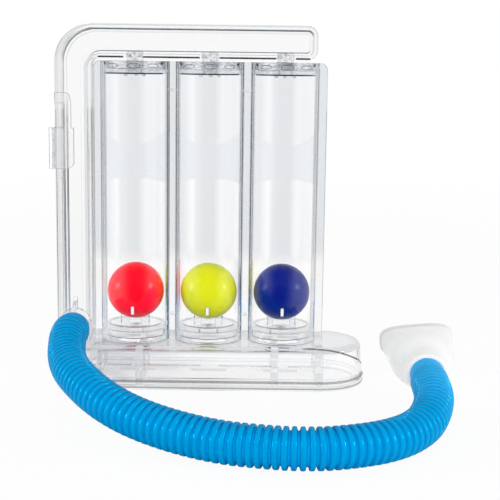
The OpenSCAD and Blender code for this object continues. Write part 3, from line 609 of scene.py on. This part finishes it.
MOUTH_LEN, MOUTH_WALL, MOUTH_SIDES, MOUTH_ROLL = 65, 1.3, 72, 6
SOCKET_R, SOCKET_BORE_R = 8.8, 7.2
BODY_W, BODY_H = 28.4, 25.6
MOUTH_W, MOUTH_H = 34, 14.4
# The lips' bead, the rounding inside them, and how square they are: 1 is an ellipse, less is squarer
BEAD_PROUD, LIP_ROUNDING, LIP_POWER = 0.7, 0.5, 0.58
# The socket's rim, from its bore to its outside: place from its end, and radius
SOCKET_CHAMFER, SOCKET_ROUNDING, SOCKET_RIM_LEN = 0.25, 0.4, 1.4
SOCKET_RIM = [(SOCKET_CHAMFER, SOCKET_BORE_R), (0, SOCKET_BORE_R + SOCKET_CHAMFER),
              (0, SOCKET_R - SOCKET_ROUNDING), (SOCKET_ROUNDING, SOCKET_R), (SOCKET_RIM_LEN, SOCKET_R)]
# Along the free length: place, and how far the section has gone from socket to body and from body to lips
MOUTH_SHARES = [(0.0, 0.0, 0.0), (0.03, 0.03, 0.0), (0.06, 0.14, 0.0), (0.1, 0.36, 0.0), (0.14, 0.6, 0.0),
                (0.18, 0.78, 0.0), (0.23, 0.91, 0.0), (0.29, 0.98, 0.01), (0.35, 1.0, 0.04),
                (0.42, 1.0, 0.1), (0.5, 1.0, 0.2), (0.58, 1.0, 0.34), (0.66, 1.0, 0.52), (0.74, 1.0, 0.69),
                (0.82, 1.0, 0.84), (0.9, 1.0, 0.95), (0.94, 1.0, 0.98)]
# The bead: place along the free length, and how far it has come out
LIP_BEAD_SHARES = [(0.945, 0.35), (0.953, 0.8), (0.963, 1.0), (0.985, 1.0), (0.995, 0.8), (1.0, 0.2)]


def part_way(a, b, share):
    return a + (b - a) * share


def bent(v, power):
    """A sine or cosine that makes an oval squarer where the power is below 1."""
    return math.copysign(abs(v) ** power, v)


def oval(y, half_w, half_h, power=1):
    """One cross section."""
    return [Vector((half_w * bent(math.cos(a), power), y, half_h * bent(math.sin(a), power)))
            for a in full_turn(MOUTH_SIDES)]


def mouth_oval(y, body, lips, inset):
    """The section at one place, from its shares of body and lips."""
    half_w = part_way(part_way(SOCKET_R, BODY_W / 2, body), MOUTH_W / 2 - BEAD_PROUD, lips) - inset
    half_h = part_way(part_way(SOCKET_R, BODY_H / 2, body), MOUTH_H / 2 - BEAD_PROUD, lips) - inset
    return oval(y, half_w, half_h, part_way(1, LIP_POWER, lips))


def make_mouthpiece(material):
    """The mouthpiece: a round socket that opens into a wide body and closes to flat lips with a bead."""
    start, socket_end, end = CUFF_SHOW, CUFF_SHOW + CUFF_GRIP, CUFF_SHOW + MOUTH_LEN
    free = end - socket_end
    rings = [oval(start + y, r, r) for y, r in SOCKET_RIM]
    rings += [mouth_oval(socket_end + free * t, body, lips, 0) for t, body, lips in MOUTH_SHARES]
    for t, proud in LIP_BEAD_SHARES:
        inset = BEAD_PROUD * (1 - proud)
        rings.append(oval(socket_end + free * t, MOUTH_W / 2 - inset, MOUTH_H / 2 - inset, LIP_POWER))
    rings.append(mouth_oval(end, 1, 1, MOUTH_WALL - LIP_ROUNDING))
    rings += [mouth_oval(socket_end + free * t, body, lips, MOUTH_WALL)
              for t, body, lips in reversed(MOUTH_SHARES[1:])]
    rings.append(oval(socket_end, SOCKET_BORE_R, SOCKET_BORE_R))
    points, faces = closed_tube(rings)
    place = mouth_place() @ Matrix.Rotation(math.radians(-MOUTH_ROLL), 4, "Y")
    piece = add_piece("soft_mouthpiece", [place @ p for p in points], faces, LIP_PIECE, material)
    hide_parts("mouthpiece")
    return piece


# Clear mouldings: the CAD shapes with soft edges, and a hair of air where two of them touch

BEVEL, WIDE_BEVEL, BEVEL_SEGMENTS, AIR = 0.25, 0.9, 2, 0.015
# Points closer than the weld and faces that turn less than the flat angle are made one, and edges that
# turn more than the sharp angle are rounded
WELD, FLAT_ANGLE, SHARP_ANGLE = 0.002, 0.3, 40
# The duct's front face, how near its rim's edges are to it, how flat a face is, and how deep its wall is
DUCT_FACE_Y, RIM_NEAR, FACE_FLAT, WALL_DEEP = -9, 0.6, 0.01, 5


def front_rim(edge):
    """True for the long outer edge of the duct's front: its flat face meets a wall as deep as the duct."""
    depths = sorted(max(v.co.y for v in f.verts) - min(v.co.y for v in f.verts) for f in edge.link_faces)
    away = max(abs(v.co.y - DUCT_FACE_Y * MM) for v in edge.verts)
    return depths[0] < FACE_FLAT * MM and depths[-1] > WALL_DEEP * MM and away < RIM_NEAR * MM


def mark_edges(shape, is_wide):
    """Gives every sharp edge its share of the wide bevel."""
    share = shape.edges.layers.float.new("bevel_weight_edge")
    for edge in shape.edges:
        if len(edge.link_faces) == 2 and edge.calc_face_angle(0) > math.radians(SHARP_ANGLE):
            edge[share] = 1 if is_wide and is_wide(edge) else BEVEL / WIDE_BEVEL


def clean_copy(node, is_wide):
    """A copy of a CAD node's mesh with its flat faces whole and its sharp edges marked."""
    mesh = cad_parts[node].data.copy()
    mesh.name = node + "_moulding"
    shape = bmesh.new()
    shape.from_mesh(mesh)
    bmesh.ops.remove_doubles(shape, verts=shape.verts, dist=WELD * MM)
    bmesh.ops.dissolve_limit(shape, angle_limit=math.radians(FLAT_ANGLE), verts=shape.verts,
                             edges=shape.edges)
    mark_edges(shape, is_wide)
    shape.to_mesh(mesh)
    shape.free()
    for name in [a.name for a in mesh.attributes if a.name == "custom_normal"]:
        mesh.attributes.remove(mesh.attributes[name])
    return mesh


def soften(node, material, edge_material, is_wide=None):
    """A moulding in place of a CAD node, with rounded edges in a darker plastic of their own, as painted
    shade.
    """
    mesh = clean_copy(node, is_wide)
    mesh.materials.clear()
    mesh.materials.append(material)
    mesh.materials.append(edge_material)
    piece = bpy.data.objects.new(node + "_moulding", mesh)
    bpy.context.scene.collection.objects.link(piece)
    shrink = piece.modifiers.new("air", "DISPLACE")
    shrink.strength, shrink.mid_level = -AIR * MM, 0
    edges = piece.modifiers.new("edges", "BEVEL")
    edges.width, edges.segments = WIDE_BEVEL * MM, BEVEL_SEGMENTS
    edges.limit_method, edges.material = "WEIGHT", 1
    apply_modifiers(piece)
    flat_normals(piece)
    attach(piece, TRAINER)
    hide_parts(node)


# Seam lines: thin beads in darker plastic, as painted shade where the mouldings' joints draw dark lines

BEAD_SIDES, LINE_STEPS = 6, 18
# A direction that no line runs along
BEAD_ASIDE = (0, -1, 0.01)
# The crease over the foot's right end
CREASE_BEAD = 0.4
CREASE = [(41.5, -19.5, 19.05), (46, -19.6, 19.1), (50, -19.9, 18.9), (53.3, -19.9, 18.6),
          (57.8, -18.5, 17.4), (62.4, -15.4, 15.2), (66.6, -9.7, 12.2), (68.2, -6.4, 9.9)]
# The line along the duct's floor: its left and right end, and the gap on each side of a riser's middle
DUCT_LINE_X, DUCT_LINE_Y, DUCT_LINE_Z = (-47.5, 42.8), -8.95, 142.9
DUCT_LINE_BEAD, RISER_GAP = 0.44, 4.2
# Lines round the foot: height, how far inside its outline, and bead
FOOT_LINES = [(4.05, 0.2, 0.55), (1.25, 0.15, 0.38)]
FOOT_STRAIGHT, FOOT_LINE_STEPS = FOOT_HIGH.x - FOOT_END_R, 24
# The line round a cap's skirt: height, radius, and half of the turn that it takes round the front
SKIRT_Z, SKIRT_R, SKIRT_TURN, SKIRT_BEAD = CAP_FLOOR + 1.2, CAP_R - 0.2, 62, 0.36
# Pins that show through the tubes: place across, height of the middle, how tall, and how far they lean
PIN_X, PIN_Z, PIN_H, PIN_LEAN, PIN_BEAD = 11.4, CAP_FLOOR + 5.4, 0.9, 0.25, 0.5
# Screw tops: height, and for each one its place across and half its width and height
SCREW_Z, SCREW_BEAD = CAP_FLOOR + 4.4, 0.16
SCREWS = [(-8, 2.2, 0.8), (0.6, 2.7, 1.0), (8.2, 2.0, 0.8)]
# Lines round a ball seat: height over its floor, radius, half of the turn round the front, bead and tone
SEAT_LINES = [(7.1, 11.6, 75, 0.2, "dark"), (5.2, 13.1, 70, 0.16, "grey"),
              (2.4, 13.1, 64, 0.2, "dark"), (0.35, 15.3, 70, 0.22, "grey")]


def foot_line(z, radius):
    """The foot's front outline at one height, from the middle of its left end to that of its right end."""
    turns = sweep(0, 90, FOOT_LINE_STEPS)
    left = [(-FOOT_STRAIGHT - radius * math.cos(a), -radius * math.sin(a)) for a in turns]
    right = [(FOOT_STRAIGHT + radius * math.sin(a), -radius * math.cos(a)) for a in turns]
    return [Vector((x, y, z)) for x, y in left + right]


def front_arc(x, z, radius, half_turn):
    """An arc round the front of the tube at x."""
    return [Vector((x + radius * math.sin(a), -radius * math.cos(a), z))
            for a in sweep(-half_turn, half_turn, LINE_STEPS)]


def on_cap(x, across, z):
    """A point on the front of the cap at x, at a place across it."""
    return Vector((x + across, -math.sqrt(SKIRT_R ** 2 - across ** 2), z))


def pin_line(x, side):
    return [on_cap(x, side * (PIN_X + k * PIN_LEAN), PIN_Z + k * PIN_H / 2) for k in (-1, 0, 1)]


def screw_line(x, across, half_w, half_h):
    return [on_cap(x, across + half_w * math.cos(a), SCREW_Z + half_h * math.sin(a))
            for a in sweep(0, 360, LINE_STEPS)]


def cap_lines(x):
    """The dark lines of one cap, as seam_lines gives them."""
    lines = [("black", SKIRT_BEAD, front_arc(x, SKIRT_Z, SKIRT_R, SKIRT_TURN))]
    lines += [("black", PIN_BEAD, pin_line(x, side)) for side in (-1, 1)]
    lines += [("dark", SCREW_BEAD, screw_line(x, *screw)) for screw in SCREWS]
    return lines


def seat_lines(x):
    """The lines of one ball seat and of its tube's foot, as seam_lines gives them."""
    return [(tone, bead, front_arc(x, SEAT_FLOOR + height, radius, half_turn))
            for height, radius, half_turn, bead, tone in SEAT_LINES]


def duct_lines():
    """The lines along the duct's floor between the risers, as seam_lines gives them."""
    risers = [x + side * RISER_GAP for x in TUBE_X for side in (-1, 1)]
    stops = [DUCT_LINE_X[0], *risers, DUCT_LINE_X[1]]
    return [("black", DUCT_LINE_BEAD, [Vector((x, DUCT_LINE_Y, DUCT_LINE_Z)) for x in pair])
            for pair in zip(stops[::2], stops[1::2])]


def seam_lines():
    """Each line's tone, bead radius and points."""
    lines = [("dark", CREASE_BEAD, [Vector(p) for p in CREASE])]
    lines += [("grey", bead, foot_line(z, FOOT_END_R - inside)) for z, inside, bead in FOOT_LINES]
    lines += duct_lines()
    for x in TUBE_X:
        lines += cap_lines(x) + seat_lines(x)
    return lines


def make_bead(name, points, radius, material):
    """A thin round bead along a line of points."""
    rings = []
    for before, point, after in zip(points[:1] + points, points, points[1:] + points[-1:]):
        way = (after - before).normalized()
        side = way.cross(Vector(BEAD_ASIDE)).normalized()
        rings.append(square_ring(point, side, side.cross(way), radius, BEAD_SIDES))
    last = (len(rings) - 1) * BEAD_SIDES
    faces = [tuple(range(BEAD_SIDES)), tuple(last + k for k in reversed(range(BEAD_SIDES)))]
    for j in range(len(rings) - 1):
        faces += ring_faces(j * BEAD_SIDES, (j + 1) * BEAD_SIDES, BEAD_SIDES)
    bead = add_piece(name, [p for ring in rings for p in ring], faces, TRAINER, material)


# Balls, and the white marks on the tubes in front of them

BALL_CUTS = 20
# Each ball's name, material slot, colour and the shade of its flow marks, from left to right
BALLS = [("red", "red_plastic", (0.97, 0.0, 0.016), (0.9, 0.0, 0.01)),
         ("yellow", "yellow_plastic", (0.6, 0.62, 0.008), (0.54, 0.57, 0.004)),
         ("blue", "dark_blue_plastic", (0.0, 0.009, 0.18), (0.0, 0.006, 0.15))]
# The painted marks: size, bevel and height of the middle, then the raised ones' face and the paint over it
MARK_W, MARK_H, MARK_DEPTH, MARK_BEVEL, MARK_Z = 1.2, 3.3, 0.8, 0.2, 34.1
MARK_FACE_Y, PAINT = corners("chamber_front")[0].y, 0.05


def round_ball(radius, cuts):
    """A ball without poles: a cube's six grids, pushed out to the radius."""
    points, faces, known = [], [], {}

    def corner(axis, side, i, j):
        a, b = (math.tan(math.pi / 4 * (2 * k / cuts - 1)) for k in (i, j))
        place = [0, 0, 0]
        place[axis], place[(axis + 1) % 3], place[(axis + 2) % 3] = side, a * side, b
        point = Vector(place).normalized() * radius
        key = tuple(round(v, 5) for v in point)
        if key not in known:
            known[key] = len(points)
            points.append(point)
        return known[key]

    for axis in range(3):
        for side in (-1, 1):
            for i in range(cuts):
                for j in range(cuts):
                    square = (i, j), (i + 1, j), (i + 1, j + 1), (i, j + 1)
                    faces.append([corner(axis, side, *at) for at in square])
    return points, faces


def make_ball(name, x, material):
    points, faces = round_ball(BALL_R, BALL_CUTS)
    place = Vector((x, 0, BALL_Z))
    ball = add_piece(name + "_float_ball", [p + place for p in points], faces, name + "_ball", material)
    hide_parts("ball_" + name)


def make_mark(name, x, material):
    """A painted mark over the raised one on the front of the tube at x."""
    y = MARK_FACE_Y - PAINT
    sides = [(-1, 0), (1, 0), (1, MARK_DEPTH), (-1, MARK_DEPTH)]
    points = [Vector((x + a * MARK_W / 2, y + b, MARK_Z + c * MARK_H / 2))
              for c in (-1, 1) for a, b in sides]
    faces = [(3, 2, 1, 0), (4, 5, 6, 7), *((k, (k + 1) % 4, (k + 1) % 4 + 4, k + 4) for k in range(4))]
    mark = add_piece(name, points, faces, TRAINER, material)
    edges = mark.modifiers.new("edges", "BEVEL")
    edges.width, edges.segments = MARK_BEVEL * MM, BEVEL_SEGMENTS
    apply_modifiers(mark)
    flat_normals(mark)


# Camera, as the photograph was taken

CAMERA_AT, CAMERA_PITCH, CAMERA_ROLL = (18.2, -504, 140.65), 9.2, 0.75
LENS, SENSOR = 82.8, 36


def place_camera():
    """Puts the camera where the photograph's was, makes it level and then pitches and rolls it."""
    data = bpy.data.cameras.new("camera")
    data.lens, data.sensor_width = LENS, SENSOR
    camera = bpy.data.objects.new("camera", data)
    camera.matrix_world = (Matrix.Translation(Vector(CAMERA_AT) * MM)
                           @ Matrix.Rotation(math.radians(90 - CAMERA_PITCH), 4, "X")
                           @ Matrix.Rotation(math.radians(CAMERA_ROLL), 4, "Z"))
    bpy.context.scene.collection.objects.link(camera)
    bpy.context.scene.camera = camera


# Light and floor, in metres

# What rays from the camera see, straight and through clear plastic, and what lights matt surfaces
SEEN, SEEN_THROUGH, FILL, FILL_COLOUR = 1.0, 1.06, 0.55, (0.97, 0.98, 1)
# What they see once they have been reflected: a dark room in front and white paper behind. One goes over
# into the other between two values of their direction's Y, which is -1 straight to the front
ROOM_DARK, ROOM_LIGHT, ROOM_FROM, ROOM_TO = 0.03, 0.88, -0.99, -0.6
# A count above this is at least one
AT_ALL = 0.5
# Soft boxes: place, aim, size and power in watts
SOFT_BOXES = {"left_box": ((-1.05, -0.22, 0.32), (0, 0, 0.06), (0.12, 0.2), 2.8),
              "right_box": ((1.0, -0.34, 0.4), (0, 0, 0.06), (0.14, 0.2), 2.8),
              "top_box": ((0.0, 0.1, 1.3), (0, 0, 0), (1.2, 1.2), 0.4),
              "front_box": ((0.1, -1.7, 0.35), (0, 0, 0.06), (1.0, 0.6), 24.0)}
# The floor: half its side, its paper, and the share of its own glow near the object and far off
FLOOR_HALF, FLOOR_COLOUR = 3.0, (0.94, 0.94, 0.94)
GLOW_NEAR, GLOW_FAR, NEAR, FAR = 0.93, 1.0, 0.3, 1.0
LIGHT_BOUNCES = 32


def ray_shares(tree):
    """Three shares for the room and the floor: 1 where a ray from the camera sees them, straight, off
    gloss or through glass, 1 where it has been reflected, and 1 where it has passed through glass."""
    path = add_node(tree, "ShaderNodeLightPath").outputs
    direct = maths(tree, "MAXIMUM", path["Is Glossy Ray"], path["Is Transmission Ray"])
    direct = maths(tree, "MAXIMUM", direct, path["Is Camera Ray"])
    seen = maths(tree, "MULTIPLY", direct, maths(tree, "LESS_THAN", path["Diffuse Depth"], AT_ALL))
    reflected = maths(tree, "GREATER_THAN", path["Glossy Depth"], AT_ALL)
    return seen, reflected, maths(tree, "GREATER_THAN", path["Transmission Depth"], AT_ALL)


def seen_level(tree, where, reflected, through):
    """What seeing rays see: white, or a room that is dark in front once they have been reflected."""
    way = add_node(tree, "ShaderNodeVectorMath", operation="NORMALIZE")
    tree.links.new(where, way.inputs[0])
    forward = axes_of(tree, way.outputs["Vector"])["Y"]
    room = between(tree, forward, ROOM_FROM, ROOM_TO, ROOM_DARK, ROOM_LIGHT)
    return mixed(tree, reflected, mixed(tree, through, SEEN, SEEN_THROUGH), room)


def make_world():
    """A white room that also lights matt surfaces, more softly than it is seen."""
    world = bpy.data.worlds.new("studio")
    world.use_nodes = True
    bpy.context.scene.world = world
    tree = world.node_tree
    tree.nodes.clear()
    out = add_node(tree, "ShaderNodeOutputWorld")
    seen, reflected, through = ray_shares(tree)
    where = add_node(tree, "ShaderNodeTexCoord").outputs["Generated"]
    white = add_node(tree, "ShaderNodeBackground", {"Color": (*WHITE, 1)})
    tree.links.new(seen_level(tree, where, reflected, through), white.inputs["Strength"])
    fill = add_node(tree, "ShaderNodeBackground", {"Color": (*FILL_COLOUR, 1), "Strength": FILL})
    mix_shaders(tree, seen, fill.outputs["Background"], white.outputs["Background"], out)


def soft_box(name, at, aim, size, power):
    """A rectangular lamp that is seen in gloss only."""
    data = bpy.data.lights.new(name, "AREA")
    data.shape, data.energy = "RECTANGLE", power
    data.size, data.size_y = size
    lamp = bpy.data.objects.new(name, data)
    lamp.location = at
    lamp.rotation_euler = (Vector(aim) - Vector(at)).to_track_quat("-Z", "Y").to_euler()
    lamp.visible_camera = lamp.visible_transmission = False
    bpy.context.scene.collection.objects.link(lamp)
    return lamp


def make_lamps():
    lamps = {name: soft_box(name, *values) for name, values in SOFT_BOXES.items()}
    # The front one shows in no gloss, because its image in the front walls would veil the balls
    front = lamps["front_box"]
    front.visible_glossy = front.data.cycles.use_multiple_importance_sampling = False


def paper_material():
    """White paper that takes shadows, and glows a little less near the object than far off."""
    mat, tree, shader, out = new_material("white_floor")
    tree.nodes.remove(shader)
    paper = add_node(tree, "ShaderNodeBsdfDiffuse", {"Color": (*FLOOR_COLOUR, 1)})
    glow = add_node(tree, "ShaderNodeEmission", {"Color": (*WHITE, 1)})
    seen, reflected, through = ray_shares(tree)
    where = object_place(tree)
    tree.links.new(seen_level(tree, where, reflected, through), glow.inputs["Strength"])
    away = add_node(tree, "ShaderNodeVectorMath", operation="LENGTH")
    tree.links.new(where, away.inputs[0])
    share = between(tree, away.outputs["Value"], NEAR, FAR, GLOW_NEAR, GLOW_FAR, way="LINEAR")
    share = maths(tree, "MULTIPLY", seen, maths(tree, "MAXIMUM", share, reflected))
    mix_shaders(tree, share, paper.outputs["BSDF"], glow.outputs["Emission"], out)
    return mat


def make_floor():
    mesh = bpy.data.meshes.new("floor")
    points = [(x * FLOOR_HALF, y * FLOOR_HALF, 0) for x, y in ((-1, -1), (1, -1), (1, 1), (-1, 1))]
    mesh.from_pydata(points, [], [(0, 1, 2, 3)])
    mesh.materials.append(paper_material())
    floor = bpy.data.objects.new("floor", mesh)
    bpy.context.scene.collection.objects.link(floor)


def set_render():
    scene = bpy.context.scene
    scene.view_settings.view_transform = "Standard"
    scene.cycles.max_bounces = scene.cycles.glossy_bounces = LIGHT_BOUNCES
    scene.cycles.transmission_bounces = scene.cycles.transparent_max_bounces = LIGHT_BOUNCES


# The making: camera and hose first, then the rest

place_camera()
blue = hose_plastic()
hose, hose_line = make_hose(blue)
port_cuff = make_cuff("port_cuff", "hose_cuff_duct", PORT_FACE_Y - HOSE_ROUTE[0][1], SPIGOT_R + SPIGOT_AIR,
                      port_place(), blue)
mouth_cuff = make_cuff("mouth_cuff", "hose_cuff_mouth", CUFF_SHOW + CUFF_GRIP, CUFF_BORE_R,
                       mouth_place(), blue)
white = white_plastic()
mouthpiece = make_mouthpiece(white)

make_world()
make_floor()
make_lamps()
set_render()

rear_clear = clear_plastic("clear_styrene", REAR_DENSITY, edge_on=REAR_EDGE_ON)
tube_clear = clear_plastic("clear_styrene_tubes", TUBE_DENSITY, edge_on=TUBE_EDGE_ON, shade=painted_tube_streaks)
duct_clear = clear_plastic("clear_styrene_duct", DUCT_DENSITY)
foot_clear = clear_plastic("clear_styrene_foot", FOOT_DENSITY, shade=foot_shade)
cap_clear = clear_plastic("clear_styrene_caps", CAP_DENSITY, shade=cap_shade)
milky = milky_plastic()
edge_shade_plastic = edge_shade_plastics()

MOULDINGS = [("chamber_front", tube_clear, "light"), ("chamber_rear", rear_clear, "light"),
             ("duct_shell", duct_clear, "pale"), ("duct_cover", duct_clear, "pale"),
             ("foot_shell", foot_clear, "pale"), ("foot_plate", foot_clear, "pale"),
             *((f"cap_{side}", cap_clear, "dark") for side in ("left", "middle", "right")),
             *((f"seat_{side}", rear_clear, "grey") for side in ("left", "middle", "right")),
             ("mouthpiece_clip", milky, "grey")]
for node, wall, tone in MOULDINGS:
    soften(node, wall, edge_shade_plastic[tone], is_wide=front_rim if node == "duct_shell" else None)
for number, (tone, radius, points) in enumerate(seam_lines(), 1):
    make_bead(f"seam_line_{number}", points, radius, edge_shade_plastic[tone])
for x, (name, slot, colour, shade) in zip(TUBE_X, BALLS):
    make_ball(name, x, ball_plastic(f"{name}_ball_plastic", colour, shade))
for number, x in enumerate(TUBE_X, 1):
    make_mark(f"index_mark_{number}", x, white)
